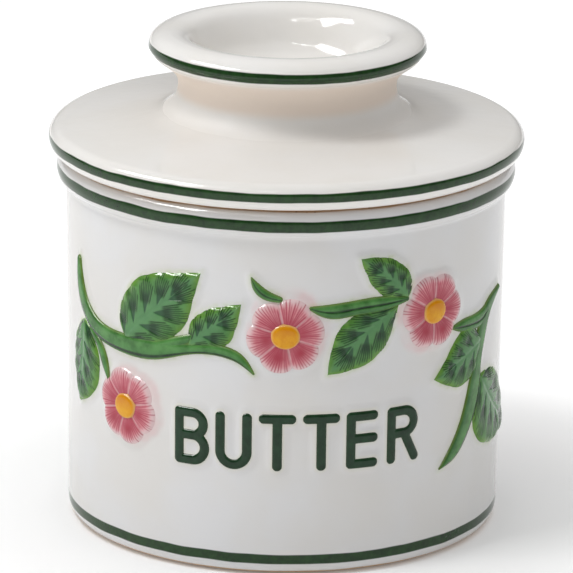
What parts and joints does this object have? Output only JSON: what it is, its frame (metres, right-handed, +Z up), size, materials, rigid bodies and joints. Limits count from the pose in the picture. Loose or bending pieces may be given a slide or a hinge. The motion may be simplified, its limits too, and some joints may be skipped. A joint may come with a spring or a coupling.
{
  "type": "butter crock",
  "caption": "Round glazed crock with a lifting lid that carries a cup of butter down into a water well, and a raised floral garland round the wall.",
  "frame": {"origin": "centre of the foot ring's underside, on the table", "axes": "+Z up along the axis of the pot, -Y out of the decorated front, +X to the right of someone facing the front"},
  "size_m": [0.102, 0.102, 0.1068],
  "materials": {
    "white_glaze": "gloss",
    "bell_glaze": "gloss",
    "stem_glaze": "gloss",
    "leaf_glaze": "gloss",
    "petal_glaze": "gloss",
    "eye_glaze": "gloss",
    "letter_glaze": "gloss"
  },
  "bodies": {
    "crock": {"crock_base": "white_glaze", "lettering": "letter_glaze", "back_stems": "stem_glaze", "back_leaves": "leaf_glaze", "back_flower_petals": "petal_glaze", "back_flower_eyes": "eye_glaze", "left_large_leaf": "leaf_glaze", "left_small_leaf": "leaf_glaze", "left_hanging_leaf": "leaf_glaze", "bud_leaf": "leaf_glaze", "centre_upper_leaf": "leaf_glaze", "centre_lower_leaf": "leaf_glaze", "right_inner_leaf": "leaf_glaze", "right_outer_leaf": "leaf_glaze", "left_stem": "stem_glaze", "left_shoot": "stem_glaze", "centre_stem": "stem_glaze", "right_stem": "stem_glaze", "left_flower_petals": "petal_glaze", "left_flower_eye": "eye_glaze", "centre_flower_petals": "petal_glaze", "centre_flower_eye": "eye_glaze", "right_flower_petals": "petal_glaze", "right_flower_eye": "eye_glaze"},
    "lid": {"lid_top": "white_glaze", "lid_bell": "bell_glaze"}
  },
  "joints": [
    {"name": "lid_lift", "type": "slide", "parent": "crock", "child": "lid", "axis": [0, 0, 1], "range_m": [0, 0.085]}
  ]
}
